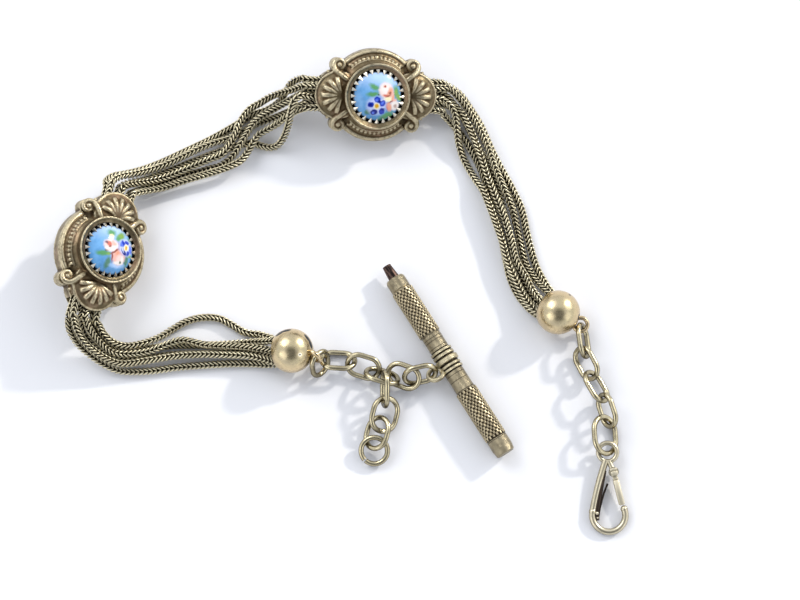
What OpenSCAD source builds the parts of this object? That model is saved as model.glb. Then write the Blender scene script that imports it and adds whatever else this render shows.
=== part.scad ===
/* [Shared] */
// Diameter of the foxtail chain strands
strand_d = 1.5; // [1.3:0.05:1.5]
// Wire diameter of the cable links
link_wire = 1.0; // [0.8:0.05:1.05]

/* [Balls] */
// Outer radius of the two gathering balls
ball_r = 4.2; // [4.1:0.05:4.3]
// Wall of the balls
ball_wall = 0.5; // [0.4:0.05:0.6]
// Radius of the mouth the strands enter by
mouth_r = 3.3; // [3.25:0.05:3.5]

/* [Slides] */
// Height of the slides' border above the flat back
slide_t = 2.4; // [2.3:0.05:2.5]
// Height of the collar that holds the enamel, above the border
collar_h = 4.4; // [4.3:0.05:4.6]
// Radius of the enamel plaque
enamel_r = 4.72; // [4.5:0.02:4.72]
// Width of the slot the strands pass through
slot_w = 7.0; // [6.8:0.1:7.2]

/* [Bar and clip] */
// Radius of the bar's knurled barrel
bar_r = 2.02; // [1.8:0.02:2.1]
// How far the clip's gate stands open, in degrees
gate_open = 0; // [0:1:20]

/* [Hidden] */
$fn = 48;

// Poses of the slides: where the flat back's centre lies, how far it tips, which way, and its turn
left_pos = [-46.2, 4.65, 5.0];
left_turn = [34, -5, 75];
top_pos = [6.36, 36.91, 3.91];
top_turn = [24, -65, 0];

// Heights of the two layers of strands in a slide, above its back
lower = 1.3;
upper = 3.0;

function yaw_of(p, a) = [p.x * cos(a) - p.y * sin(a), p.x * sin(a) + p.y * cos(a), p.z];
function tip_of(p, a) = [p.x * cos(a) + p.z * sin(a), p.y, p.z * cos(a) - p.x * sin(a)];
function in_slide(pos, turn, p) = pos + yaw_of(tip_of(yaw_of(p, turn[2] - turn[1]), turn[0]), turn[1]);
function left_lane(y, z) = [for (x = [-12, 0, 12]) in_slide(left_pos, left_turn, [x, y, z])];
function top_lane(y, z) = [for (x = [-12, 0, 12]) in_slide(top_pos, top_turn, [x, y, z])];

// Routes of the six strands from the left ball through both slides to the right ball,
// as points chosen by hand; the lanes give their places inside the slides
route_1 = concat(
    [[-8.5, -16.1, 3.5], [-10.9, -16.1, 2.4], [-13.5, -16, 1.2], [-16.5, -15.8, 0.8],
        [-21, -15.8, 0.8], [-26, -16.1, 0.8], [-31, -16.5, 0.8], [-36, -17.2, 0.8],
        [-41, -17.3, 1], [-44.2, -16.3, 1.9], [-47, -14.6, 3.3], [-49.2, -12.7, 5],
        [-50.5, -10.4, 6.9], [-50.6, -8.3, 8]],
    left_lane(2.35, lower),
    [[-44.7, 18.8, 5.6], [-43.4, 20.3, 4.4], [-41, 21.2, 2.9], [-38, 22.5, 1.4],
        [-34.5, 24.1, 0.8], [-30, 26.3, 0.8], [-25, 28.8, 0.8], [-20.5, 31.5, 0.8],
        [-17.2, 33.6, 0.8], [-14.2, 34.6, 1.2], [-12, 35.8, 2.3], [-10.6, 37.2, 3.9],
        [-9.4, 38.6, 5.6], [-7.4, 39, 7.3]],
    top_lane(2.65, lower),
    [[21, 38.9, 2.9], [23.6, 37.4, 1.6], [25.6, 34.6, 0.9], [27.4, 31.6, 0.8],
        [28.7, 28.5, 0.8], [30.2, 25, 0.8], [32, 21.5, 0.8], [33.8, 18, 0.8], [35.3, 14.4, 0.8],
        [36.1, 10.4, 0.8], [36.9, 6.8, 0.8], [38, 3, 0.8], [39.7, -0.3, 0.8], [40.8, -2.1, 1.5],
        [41.3, -3.5, 2.4], [43.2, -4.9, 3.5]]);
route_2 = concat(
    [[-9.2, -16.1, 5], [-11.6, -16.1, 3.9], [-14, -15.3, 2.9], [-17, -14.6, 2.45],
        [-21, -14.4, 2.45], [-26, -14.3, 2.45], [-31, -14.6, 2.45], [-36, -15.4, 2.45],
        [-41, -16.1, 2.6], [-44.2, -15.2, 3.7], [-46.9, -13.4, 5.5], [-48.6, -11.2, 7.6],
        [-49.3, -8.8, 9.3]],
    left_lane(2.35, upper),
    [[-43.2, 18.6, 6.9], [-41.8, 19.9, 5.5], [-39.5, 20.8, 4], [-36.5, 22, 2.7],
        [-33, 23.5, 2.2], [-28.5, 25.8, 2.2], [-24.8, 27.5, 1.9], [-21.5, 28.9, 0.9],
        [-18.8, 30.4, 0.8], [-16.2, 31.9, 0.8], [-13.5, 32.6, 1.4], [-11, 33.2, 2.7],
        [-8.7, 33.8, 4.5], [-6.8, 34.3, 6]],
    top_lane(-1.55, lower),
    [[20.5, 35.5, 1.4], [22.4, 34.9, 0.8], [24, 33.1, 0.8], [25.3, 30.6, 0.8],
        [26.5, 28, 0.8], [28.2, 24.8, 0.8], [29.6, 21.5, 0.8], [31, 17.6, 0.8], [32.1, 13, 0.8],
        [32.9, 9, 0.8], [33.8, 4.6, 0.8], [35.2, 0.8, 0.8], [36.6, -2, 0.8], [38.2, -4, 1.4],
        [40.1, -5.4, 2.4], [42, -6.7, 3.5]]);
route_3 = concat(
    [[-8.5, -13.9, 3.5], [-10.9, -13.9, 2.4], [-13.5, -13.9, 1.2], [-16.5, -13.6, 0.8],
        [-21, -13.6, 0.8], [-26, -13.9, 0.8], [-31, -14, 0.8], [-36, -14.7, 0.8],
        [-41, -15.1, 1.1], [-43.9, -14.3, 2.2], [-46.4, -12.9, 3.8], [-47.9, -10.7, 5.7],
        [-48.3, -8.8, 6.9]],
    left_lane(0, lower),
    [[-42, 18.2, 4.4], [-40.3, 19.3, 3.1], [-37.5, 20.4, 1.6], [-34, 21.9, 0.8],
        [-29, 24, 0.8], [-24.5, 25.8, 0.8], [-20.8, 27.1, 0.8], [-17.5, 27.9, 0.8],
        [-14.4, 27.1, 0.8], [-12.4, 27.2, 1.1], [-10.9, 28.4, 2.8], [-9.8, 30.3, 5.6],
        [-9.2, 32.2, 8], [-8.6, 33.8, 9.1], [-7.2, 34.9, 9.3]],
    top_lane(-0.55, upper),
    [[20.4, 35.4, 4], [21.8, 34.2, 3.8], [22.5, 32.6, 3.2], [22.8, 30.4, 2.6],
        [23.1, 27.8, 1.7], [24, 25, 0.8], [25.2, 22.6, 0.8], [26.4, 20.4, 1.3],
        [27.7, 18.2, 2.2], [28.7, 15.6, 2.45], [30, 12, 2.45], [31.3, 8, 2.45], [32.3, 4, 2.45],
        [33.6, 0.8, 2.45], [34.9, -2, 2.45], [36.4, -4.6, 3], [38.2, -6.7, 3.9], [40.2, -8.1, 5]]);
route_4 = concat(
    [[-9.2, -13.9, 5], [-11.6, -13.9, 3.9], [-14, -13.4, 2.9], [-17, -12.9, 2.45],
        [-21, -12.6, 2.45], [-25.5, -12.4, 2.45], [-29.5, -11.5, 2.45], [-32.6, -12.3, 2.45],
        [-36, -13.7, 2.5], [-40, -14.3, 2.6], [-43, -14, 3.5], [-45.2, -12.3, 5.3],
        [-46.6, -10.6, 7.2], [-47.3, -8.8, 8.2]],
    left_lane(0, upper),
    [[-41, 17.9, 5.7], [-39.3, 18.8, 4.4], [-36.5, 19.7, 2.9], [-33.5, 20.7, 2.2],
        [-29.5, 22.4, 2.2], [-25.8, 24, 2.4], [-23, 25.2, 2.45], [-21.4, 27.2, 2.5],
        [-20.2, 29.5, 2.5], [-19.2, 32, 2.5], [-17.6, 34.2, 2.6], [-15.6, 35.3, 3.1],
        [-13.4, 36.3, 4.2], [-11.2, 36.6, 5.8], [-9, 36.7, 7.3], [-7, 37, 8.9]],
    top_lane(1.55, upper),
    [[21.3, 37.9, 4.1], [23.4, 36.2, 3.1], [25.2, 34, 2.45], [26.5, 31.6, 2.45],
        [27.8, 28.9, 2.45], [28.9, 26.2, 2.45], [29.8, 23.5, 2.45], [30.9, 20.6, 2.45],
        [32.2, 17.5, 2.2], [33.5, 14.4, 1.3], [34.3, 11, 0.8], [34.9, 8, 0.8], [35.8, 4, 0.8],
        [36.9, 1.8, 1.1], [38.2, -0.2, 2], [39.6, -2, 3.2], [40.7, -3.1, 3.9], [42.7, -4.5, 5]]);
route_5 = concat(
    [[-9.2, -11.7, 5], [-11.6, -11.7, 3.9], [-14, -11.7, 2.4], [-16.5, -11.6, 1.1],
        [-19, -11.8, 0.8], [-23, -12.1, 0.8], [-28, -12.2, 0.8], [-32, -12.3, 0.8],
        [-36, -12.8, 0.8], [-40.5, -13.4, 1], [-43, -12.9, 1.9], [-45, -11.4, 3.3],
        [-46.1, -9.6, 4.7]],
    left_lane(-2.35, lower),
    [[-40, 17.2, 3.1], [-38.3, 18.2, 1.9], [-35, 19.3, 0.9], [-30.5, 21.1, 0.8],
        [-26, 22.5, 0.8], [-23, 23.4, 1], [-20.7, 25.1, 1.9], [-19.3, 27.3, 2.5],
        [-18.1, 29.4, 2.5], [-16.8, 31.5, 2.6], [-14.8, 33, 3], [-12.3, 34.2, 3.9],
        [-10.2, 35, 5], [-8, 35.8, 6.3], [-6.6, 36.3, 7]],
    top_lane(0.55, lower),
    [[20.8, 36.8, 2.8], [22.4, 35, 2.4], [23.9, 33.1, 2.45], [25.1, 30.8, 2.45],
        [26.1, 28.4, 2.45], [27, 26, 2.45], [27.8, 23.6, 2.45], [28.6, 21, 2.45],
        [29.7, 18, 2.45], [30.9, 15, 2.45], [32, 12, 2.45], [33.1, 8, 2.45], [34, 4, 2.45],
        [35.7, 1, 2.45], [36.9, -1.5, 2.5], [38.1, -3.4, 3.1], [39.5, -4.9, 3.9],
        [41.4, -6.3, 5]]);
route_6 = concat(
    [[-8.5, -11.7, 3.5], [-10.9, -11.7, 2.4], [-13.2, -10.8, 1.2], [-15.4, -10.1, 0.8],
        [-18, -9.7, 0.8], [-20.6, -8.2, 0.8], [-23, -7, 0.8], [-26, -6.8, 0.8], [-29, -7.5, 0.8],
        [-31.8, -9.1, 0.9], [-34.2, -10.8, 1.6], [-36.8, -12, 2.3], [-40, -12.7, 2.6],
        [-42.5, -12.3, 3.4], [-44.2, -11, 4.8], [-45.1, -9.4, 6.3]],
    left_lane(-2.35, upper),
    [[-39, 16.9, 4.3], [-37.3, 17.7, 3.1], [-34, 18.6, 2.2], [-30, 20, 2.2], [-26, 21.2, 2.2],
        [-22.5, 22.3, 2.4], [-19.2, 23.9, 2.45], [-17.3, 26.6, 2.5], [-16, 28.9, 2.5],
        [-14, 30.2, 2.6], [-12, 31.2, 3.4], [-10.2, 32.2, 4.9], [-8.2, 32.8, 6.4],
        [-6.6, 33, 7.4]],
    top_lane(-2.65, upper),
    [[20.4, 32.9, 2.3], [21.8, 31.8, 1.2], [23.1, 30.2, 0.8], [24.7, 28, 0.8],
        [25.8, 26, 0.8], [26.8, 24, 0.8], [27.8, 21.5, 0.8], [28.8, 18.4, 0.8], [29.8, 15, 0.8],
        [30.6, 12, 0.8], [31.5, 8, 0.8], [32.2, 4, 0.8], [33, 0.6, 0.8], [34.5, -2.6, 0.8],
        [36.6, -5.3, 1.4], [38.8, -7.2, 2.4], [40.7, -8.5, 3.5]]);

// A point on the smooth curve between the second and third of four route points
function bend(a, b, c, d, t) = b + t / 2 * ((c - a) + t * ((2 * a - 5 * b + 4 * c - d)
    + t * (3 * (b - c) + d - a)));
function route_point(r, i) = r[max(0, min(len(r) - 1, i))];
function smooth(r) = [for (i = [0 : len(r) - 2], t = [0, 0.5])
    bend(route_point(r, i - 1), r[i], r[i + 1], route_point(r, i + 2), t), r[len(r) - 1]];
function unit(v) = v / norm(v);
function ring_at(p, dir, r) =
    let (side = unit(cross(dir, [0, 0, 1])), up = cross(side, dir))
    [for (k = [0 : 7]) p + r * (side * cos(k * 45 + 22.5) + up * sin(k * 45 + 22.5))];

// One strand: eight-sided rings along its route, closed at both ends
module strand(r) {
    path = smooth(r);
    n = len(path);
    rings = [for (i = [0 : n - 1])
        ring_at(path[i], unit(path[min(n - 1, i + 1)] - path[max(0, i - 1)]), strand_d / 2)];
    faces = [
        for (i = [0 : n - 2], k = [0 : 7])
            [i * 8 + k, (i + 1) * 8 + k, (i + 1) * 8 + (k + 1) % 8, i * 8 + (k + 1) % 8],
        [for (k = [0 : 7]) k],
        [for (k = [7 : -1 : 0]) (n - 1) * 8 + k]
    ];
    color([0.78, 0.7, 0.55]) polyhedron([for (g = rings) each g], faces, convexity = 10);
}

// A round ring of wire, lying flat
module wire_ring(r, w) {
    rotate_extrude() translate([r, 0]) circle(d = w, $fn = 24);
}

// An oval cable link, lying flat along x
module oval_link(length, width) {
    half = (length - width) / 2;
    r = (width - link_wire) / 2;
    for (s = [-1, 1]) {
        translate([s * half, 0, 0]) rotate([0, 0, s > 0 ? -90 : 90])
            rotate_extrude(angle = 180) translate([r, 0]) circle(d = link_wire, $fn = 24);
        translate([-half, s * r, 0]) rotate([0, 90, 0]) cylinder(d = link_wire, h = 2 * half, $fn = 24);
    }
}
module link_at(pos, turn, length = 7.2, width = 5.2) {
    color([0.74, 0.68, 0.55]) translate(pos) rotate(turn) oval_link(length, width);
}

// Everything that stands on a slide's back, before the slot is cut
module slide_metal() {
    // back and border: a round middle, two round ends and the seats of four scrolls
    cylinder(r = 8.95, h = slide_t, $fn = 96);
    for (s = [-1, 1]) translate([s * 7.2, 0, 0]) cylinder(r = 4.75, h = slide_t, $fn = 64);
    for (s = [-1, 1], t = [-1, 1]) translate([s * 7.3, t * 5.6, 0]) cylinder(r = 1.45, h = slide_t, $fn = 32);
    // sloping field and the collar that holds the enamel
    translate([0, 0, slide_t]) rotate_extrude($fn = 96) polygon([
        [0, -0.5], [8.3, -0.5], [8.3, 0], [6.6, 1.6], [6.05, collar_h - 0.5], [6.1, collar_h],
        [5.5, collar_h], [5.5, collar_h - 1.6], [0, collar_h - 1.6]]);
    // rolled border above and below
    for (a = [50, 230]) translate([0, 0, slide_t + 0.12]) rotate([0, 0, a])
        rotate_extrude(angle = 80, $fn = 96) translate([8.32, 0]) circle(r = 0.55, $fn = 20);
    // scrolls with a bead in the middle, and the arm that runs from each to its shell
    for (s = [-1, 1], t = [-1, 1]) {
        translate([s * 7.2, t * 5.6, slide_t + 0.3]) wire_ring(0.85, 0.8);
        translate([s * 7.2, t * 5.6, slide_t + 0.3]) sphere(r = 0.5, $fn = 20);
    }
    for (s = [0, 180], m = [0, 1]) rotate([0, 0, s]) mirror([0, m, 0])
        translate([8.3, 3.4, slide_t + 0.35]) rotate([0, 0, 112])
            rotate_extrude(angle = 80) translate([2.45, 0]) circle(r = 0.5, $fn = 20);
    // raised beads on the field
    for (k = [-5 : 5], t = [0, 180]) rotate([0, 0, 90 + t + k * 7.5])
        translate([7.45, 0, slide_t + 0.85]) sphere(r = 0.24, $fn = 16);
    // claws round the enamel
    for (k = [0 : 23]) rotate([0, 0, k * 15]) translate([5.22, 0, slide_t + collar_h - 1.8])
        rotate([0, -8, 0]) cylinder(r1 = 0.24, r2 = 0.12, h = 1.7, $fn = 14);
    // fluted shells at both ends, like hoods over the mouths of the slot
    for (s = [0, 180]) rotate([0, 0, s]) {
        translate([7.2, 0, slide_t]) cylinder(r1 = 4.7, r2 = 4.45, h = 2.2, $fn = 64);
        translate([7.2, 0, slide_t + 2.75 - 18.3]) intersection() {
            sphere(r = 18.3, $fn = 96);
            translate([0, 0, 17.5]) cylinder(r = 4.45, h = 2, $fn = 64);
        }
        for (a = [-66 : 22 : 66]) translate([5.9, 0, slide_t + 2.35]) rotate([0, 0, a]) {
            translate([1, 0, 0]) rotate([0, 93, 0]) cylinder(r1 = 0.35, r2 = 0.78, h = 3.5, $fn = 20);
            translate([4.7, 0, -0.1]) sphere(r = 0.78, $fn = 20);
        }
    }
}
module slide() {
    color([0.6, 0.52, 0.4]) difference() {
        slide_metal();
        translate([-15, -slot_w / 2, 0.35]) cube([30, slot_w, 3.6]);
    }
}
module enamel() {
    color([0.45, 0.65, 0.85]) intersection() {
        translate([0, 0, slide_t + 5.0 - 7.96]) sphere(r = 7.96, $fn = 96);
        translate([0, 0, slide_t + collar_h - 1.5]) cylinder(r = enamel_r, h = 3, $fn = 96);
    }
}
module at_left() {
    translate(left_pos) rotate([0, left_turn[0], left_turn[1]]) rotate([0, 0, left_turn[2] - left_turn[1]])
        children();
}
module at_top() {
    translate(top_pos) rotate([0, top_turn[0], top_turn[1]]) rotate([0, 0, top_turn[2] - top_turn[1]])
        children();
}

// A hollow gathering ball: its mouth looks along turn, tipped down by 25 degrees
module ball(pos, turn, ring_pos, ring_turn) {
    color([0.85, 0.74, 0.48]) difference() {
        union() {
            translate(pos) sphere(r = ball_r, $fn = 96);
            translate(ring_pos) rotate(ring_turn) wire_ring(1.3, 0.8);
        }
        translate(pos) sphere(r = ball_r - ball_wall, $fn = 96);
        translate(pos) rotate([0, 0, turn]) rotate([0, 115, 0]) cylinder(r = mouth_r, h = 6, $fn = 64);
    }
}

// The turned bar lies along its own z from the key's tip
module on_bar() {
    translate([9.1, 2.9, 2.42]) rotate([0, 0, -58]) rotate([0, 90, 0]) children();
}
module bar_barrel() {
    color([0.74, 0.66, 0.5]) union() {
        on_bar() rotate_extrude($fn = 64) polygon([
            [1.0, 2.9], [1.75, 2.9], [1.95, 3.3], [1.95, 5.2], [1.85, 5.4], [bar_r, 5.6], [bar_r, 15.7],
            [bar_r - 0.12, 15.8], [bar_r - 0.12, 19.4], [2.2, 19.5], [2.2, 19.9], [2.0, 20.0], [2.0, 20.2],
            [2.2, 20.3], [2.2, 20.8], [2.0, 20.9], [2.0, 21.1], [2.37, 21.3], [2.37, 22.1], [2.0, 22.3],
            [2.0, 22.6], [2.2, 22.7], [2.2, 23.1], [2.0, 23.2], [2.0, 23.4], [2.2, 23.5], [2.2, 23.9],
            [bar_r - 0.12, 24.0], [bar_r - 0.12, 28.3], [bar_r, 28.4], [bar_r, 39.1], [1.3, 39.1],
            [1.3, 28], [1.0, 27.5]]);
        translate([18.5, -18.15, 2.8]) rotate([-35, 0, 32]) wire_ring(1.5, 0.9);
        translate([20.0, -17.2, 2.55]) rotate([0, -90, 32]) cylinder(r = 0.75, h = 0.95);
    }
}
module bar_key() {
    color([0.25, 0.2, 0.17]) on_bar() difference() {
        union() {
            cylinder(r1 = 0.85, r2 = 1.1, h = 2.8);
            translate([0, 0, 2.7]) cylinder(r = 0.9, h = 4);
        }
        translate([-0.42, -0.42, -1]) cube([0.84, 0.84, 4]);
    }
}
module bar_cap() {
    color([0.74, 0.66, 0.5]) on_bar() difference() {
        rotate_extrude($fn = 64) polygon([[0, 36], [1.2, 36], [1.2, 39.2], [bar_r, 39.2], [2.05, 41.2],
            [1.85, 42.4], [1.6, 42.6], [0, 42.6]]);
        translate([-0.25, -3, 42.1]) cube([0.5, 6, 1]);
    }
}

// The clip is drawn flat and then raised at its eye
module on_clip() {
    translate([50.9, -44.7, 0.98]) rotate([5.5, 0, 0]) children();
}
module rod(a, b, r1, r2) {
    d = b - a;
    translate(a) rotate([0, acos(d.z / norm(d)), atan2(d.y, d.x)]) cylinder(r1 = r1, r2 = r2, h = norm(d), $fn = 24);
}
module clip_body() {
    color([0.76, 0.7, 0.56]) on_clip() difference() {
        union() {
            translate([-0.1, 11.8, 0]) wire_ring(1.75, 0.9);
            rotate([0, 0, -10]) translate([56.9, 0, 0]) rotate([0, 0, 170.4])
                rotate_extrude(angle = 9.4, $fn = 720) translate([60, 0]) circle(r = 0.62, $fn = 24);
            // a slight swelling where the limb runs into the hook
            rotate([0, 0, 170]) translate([3.1, -0.1, 0]) sphere(r = 0.72, $fn = 24);
            rotate([0, 0, 170]) rotate_extrude(angle = 212, $fn = 64) translate([3.1, 0])
                circle(r = 0.62, $fn = 24);
            rotate([0, 0, 22]) translate([3.1, 0, 0]) sphere(r = 0.68, $fn = 24);
            // lug that carries the gate's pin
            translate([1, 8.1, -0.75]) cylinder(r = 0.9, h = 1.5);
            rod([0.1, 10.2, 0], [1, 8.1, 0], 0.5, 0.58);
        }
        difference() {
            translate([1, 8.1, -0.32]) cylinder(r = 1.3, h = 0.64);
            translate([1, 8.1, -0.4]) cylinder(r = 0.3, h = 0.8, $fn = 24);
        }
        translate([0.6, 5.5, -0.32]) cube([3, 2.0, 0.64]);
    }
}
module clip_gate() {
    color([0.7, 0.62, 0.47]) on_clip() translate([1, 8.1, 0]) rotate([0, 0, -gate_open]) difference() {
        union() {
            translate([0, 0, -0.24]) cylinder(r = 0.78, h = 0.48);
            rotate([0, 0, 13.8]) {
                translate([-0.5, -2, -0.24]) cube([1, 2, 0.48]);
                translate([-0.58, -6.15, -0.5]) cube([1.16, 4.6, 1]);
            }
        }
        translate([0, 0, -1]) cylinder(r = 0.4, h = 2, $fn = 24);
    }
}
module clip_spring() {
    color([0.28, 0.23, 0.19]) on_clip() translate([20.96, -3.61, -0.4]) rotate([0, 0, 155.8])
        rotate_extrude(angle = 16, $fn = 360) translate([23, 0]) square([0.36, 0.8]);
}
// The last ring of the short drop is cut through
module drop_ring() {
    color([0.74, 0.68, 0.55]) translate([6.85, -32.6, 1.7]) rotate([0, 16, -100]) rotate([0, 0, -32])
        rotate_extrude(angle = 354, $fn = 64) translate([2.5, 0]) circle(d = link_wire, $fn = 24);
}
// Links from the left ball to the bar, the short drop, and links from the right ball to the clip
module link_a1() {
    link_at([-3.45, -16.15, 3.15], [-38, 57, -79], 6.4, 5);
}
module link_a2() {
    link_at([-0.05, -15.35, 1.9], [-36, 2, -3], 7.3);
}
module link_a3() {
    link_at([4.75, -16.6, 2.25], [32, 0, -17]);
}
module link_a4() {
    link_at([8.3, -18.45, 2.35], [-52, 0, -17]);
}
module link_a5() {
    link_at([12.35, -18.45, 2.35], [27, -6, -21]);
}
module link_a6() {
    link_at([15.5, -18.25, 2.9], [-124, -1, 13], 7);
}
module drop_1() {
    link_at([8.85, -21.15, 3.6], [77, 16, -90], 7.4, 5);
}
module drop_2() {
    link_at([8.8, -25.85, 2.3], [-28, 9, -104], 7.4, 6);
}
module drop_3() {
    link_at([7.4, -29.3, 2.2], [35, 5, -106], 7, 5.8);
}
module link_b1() {
    link_at([46.6, -11.65, 2.55], [-64, 0, -83]);
}
module link_b2() {
    link_at([47.1, -16, 2.2], [51, -1, -64]);
}
module link_b3() {
    link_at([48.9, -20.5, 2.5], [-47, -2, -61]);
}
module link_b4() {
    link_at([50.8, -25.15, 2.7], [62, 0, -73]);
}
module link_b5() {
    link_at([50.35, -29.75, 2.35], [-38, 0, -87], 8, 6.4);
}
module strand_1() {
    strand(route_1);
}
module strand_2() {
    strand(route_2);
}
module strand_3() {
    strand(route_3);
}
module strand_4() {
    strand(route_4);
}
module strand_5() {
    strand(route_5);
}
module strand_6() {
    strand(route_6);
}
module slide_left() {
    at_left() slide();
}
module slide_top() {
    at_top() slide();
}
module slide_left_enamel() {
    at_left() enamel();
}
module slide_top_enamel() {
    at_top() enamel();
}
module ball_left() {
    ball([-8.85, -13.9, 4.25], 180, [-4.45, -15.2, 5.5], [73, -10, -28]);
}
module ball_right() {
    ball([41.7, -6.5, 4.25], 145, [46.1, -8.6, 2.9], [10, 0, -22]);
}

// Which piece is drawn

// Puts the middle of the object's footprint at the origin
shift = [-0.494, 1.588, 0.004];

translate(shift) strand_1();
translate(shift) strand_2();
translate(shift) strand_3();
translate(shift) strand_4();
translate(shift) strand_5();
translate(shift) strand_6();
translate(shift) slide_left();
translate(shift) slide_top();
translate(shift) slide_left_enamel();
translate(shift) slide_top_enamel();
translate(shift) ball_left();
translate(shift) ball_right();
translate(shift) link_a1();
translate(shift) link_a2();
translate(shift) link_a3();
translate(shift) link_a4();
translate(shift) link_a5();
translate(shift) link_a6();
translate(shift) drop_1();
translate(shift) drop_2();
translate(shift) drop_3();
translate(shift) link_b1();
translate(shift) link_b2();
translate(shift) link_b3();
translate(shift) link_b4();
translate(shift) link_b5();
translate(shift) drop_ring();
translate(shift) bar_barrel();
translate(shift) bar_key();
translate(shift) bar_cap();
translate(shift) clip_body();
translate(shift) clip_gate();
translate(shift) clip_spring();
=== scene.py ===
"""Watch fob with two enamelled slides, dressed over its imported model."""
import math

import bpy
import numpy as np
from bpy.props import FloatProperty, FloatVectorProperty, IntProperty, PointerProperty
from mathutils import Matrix, Vector


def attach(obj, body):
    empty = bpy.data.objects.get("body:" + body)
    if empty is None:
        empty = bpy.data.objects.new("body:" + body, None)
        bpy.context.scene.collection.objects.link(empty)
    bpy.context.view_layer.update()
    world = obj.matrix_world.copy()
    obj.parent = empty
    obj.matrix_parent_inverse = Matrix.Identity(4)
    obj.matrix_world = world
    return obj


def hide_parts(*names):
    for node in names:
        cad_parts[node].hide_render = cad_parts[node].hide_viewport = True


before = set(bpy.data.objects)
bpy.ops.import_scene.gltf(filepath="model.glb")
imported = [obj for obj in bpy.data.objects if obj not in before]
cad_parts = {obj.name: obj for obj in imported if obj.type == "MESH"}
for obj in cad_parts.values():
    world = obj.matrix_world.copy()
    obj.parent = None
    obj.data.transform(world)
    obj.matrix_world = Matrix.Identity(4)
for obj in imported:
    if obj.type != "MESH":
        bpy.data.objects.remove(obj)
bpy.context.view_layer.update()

bl_info = {
    "name": "Watch Fob",
    "version": (1, 0, 0),
    "blender": (4, 5, 0),
    "location": "View3D > Sidebar > Watch Fob",
    "description": "Braided strands, enamelled slides, balls, links, bar and clip of a watch fob",
    "category": "Object",
}

MM = 0.001
# The part's middle is moved to the origin by this much, in millimetres
SHIFT = Vector((-0.494, 1.588, 0.004))
# Half the length of a patch of colour that goes right through a piece, in millimetres
THROUGH = 50


def length(name, text, value):
    return FloatProperty(name=name, description=text, default=value, min=0.0, precision=5,
                         subtype="DISTANCE", unit="LENGTH")


def colour(name, text, value):
    return FloatVectorProperty(name=name, description=text, default=value, size=3, min=0.0, max=1.0,
                               subtype="COLOR")


class StrandSettings(bpy.types.PropertyGroup):
    stitch: length("Stitch", "Length of one stitch of the braid", 0.00084)
    wire: length("Wire", "Half the thickness of a braided wire", 0.00016)
    bright: colour("Worn wire", "Colour of the wire where it is rubbed", (0.88, 0.79, 0.54))
    # The recess colour is painted shade between the wires and on the braid's core
    dark: colour("Recess", "Colour between the wires", (0.032, 0.025, 0.014))


class SlideSettings(bpy.types.PropertyGroup):
    grain: length("Modelling grain", "Smallest detail of the cast relief", 0.00016)
    teeth: IntProperty(name="Teeth", description="Claws round the enamel", default=24, min=12, max=60)
    bright: colour("Rubbed metal", "Colour of the relief's high places", (0.55, 0.472, 0.31))
    dark: colour("Tarnish", "Colour of the relief's low places", (0.095, 0.062, 0.032))


class EnamelSettings(bpy.types.PropertyGroup):
    sky: colour("Ground", "Sky blue enamel", (0.16, 0.40, 0.72))
    deep: colour("Deep ground", "Deeper blue patches of the ground", (0.075, 0.255, 0.54))
    gloss: FloatProperty(name="Gloss", description="Roughness of the enamel", default=0.14, min=0.0,
                         max=1.0)


class MetalSettings(bpy.types.PropertyGroup):
    gilt: colour("Gilt", "Polished balls", (0.66, 0.55, 0.32))
    link: colour("Links", "Worn pale metal of the links", (0.7, 0.61, 0.39))
    bar: colour("Bar", "Knurled bar", (0.52, 0.44, 0.285))
    steel: colour("Dark steel", "The bar's key", (0.16, 0.1, 0.078))


class StageSettings(bpy.types.PropertyGroup):
    lens: FloatProperty(name="Lens", description="Focal length in millimetres", default=93.6)
    distance: length("Distance", "From the camera to the point that it looks at", 0.4)
    elevation: FloatProperty(name="Elevation", description="Camera above the horizon", subtype="ANGLE",
                             default=math.radians(78))
    floor: colour("Floor", "Pale floor", (0.86, 0.86, 0.87))
    sky: colour("Room", "Light of the room", (0.83, 0.87, 0.96))


def rest():
    """Leaves edit mode and deselects everything."""
    if bpy.context.object and bpy.context.object.mode != "OBJECT":
        bpy.ops.object.mode_set(mode="OBJECT")
    bpy.ops.object.select_all(action="DESELECT")


def take(*things):
    """Selects these objects only; the first is the active one."""
    rest()
    for thing in things:
        thing.select_set(True)
    bpy.context.view_layer.objects.active = things[0]


def named(name):
    """The primitive that was just added, under its name."""
    piece = bpy.context.object
    piece.name = name
    piece.data.name = name
    return piece


def edit(piece, kind="FACE"):
    """Opens the piece in edit mode with all of it selected."""
    take(piece)
    bpy.ops.object.mode_set(mode="EDIT")
    bpy.ops.mesh.select_mode(type=kind)
    bpy.ops.mesh.select_all(action="SELECT")


def apply(piece, kind, **settings):
    """Adds a modifier and applies it."""
    take(piece)
    modifier = piece.modifiers.new(kind.title(), kind)
    for key, value in settings.items():
        setattr(modifier, key, value)
    bpy.ops.object.modifier_apply(modifier=modifier.name)


def fixed(piece):
    """Puts the piece's place, turn and size into its mesh."""
    take(piece)
    bpy.ops.object.transform_apply(location=True, rotation=True, scale=True)
    return piece


def moved(piece, **changes):
    """Gives the piece a place, turn, size or matrix, and puts it into its mesh."""
    for key, value in changes.items():
        setattr(piece, key, value)
    return fixed(piece)


def added(name, primitive, **settings):
    """Adds a primitive with its operator and puts its place, turn and size into its mesh."""
    rest()
    primitive(**settings)
    return fixed(named(name))


def linked(name, data):
    """A new object for a mesh or a curve."""
    thing = bpy.data.objects.new(name, data)
    bpy.context.scene.collection.objects.link(thing)
    return thing


def joined(name, pieces):
    """All the pieces as one."""
    take(*pieces)
    if len(pieces) > 1:
        bpy.ops.object.join()
    return fixed(named(name))


def twin(piece, name):
    """A copy with its own mesh."""
    take(piece)
    bpy.ops.object.duplicate(linked=False)
    return named(name)


def remove(piece):
    take(piece)
    bpy.ops.object.delete()


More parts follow.
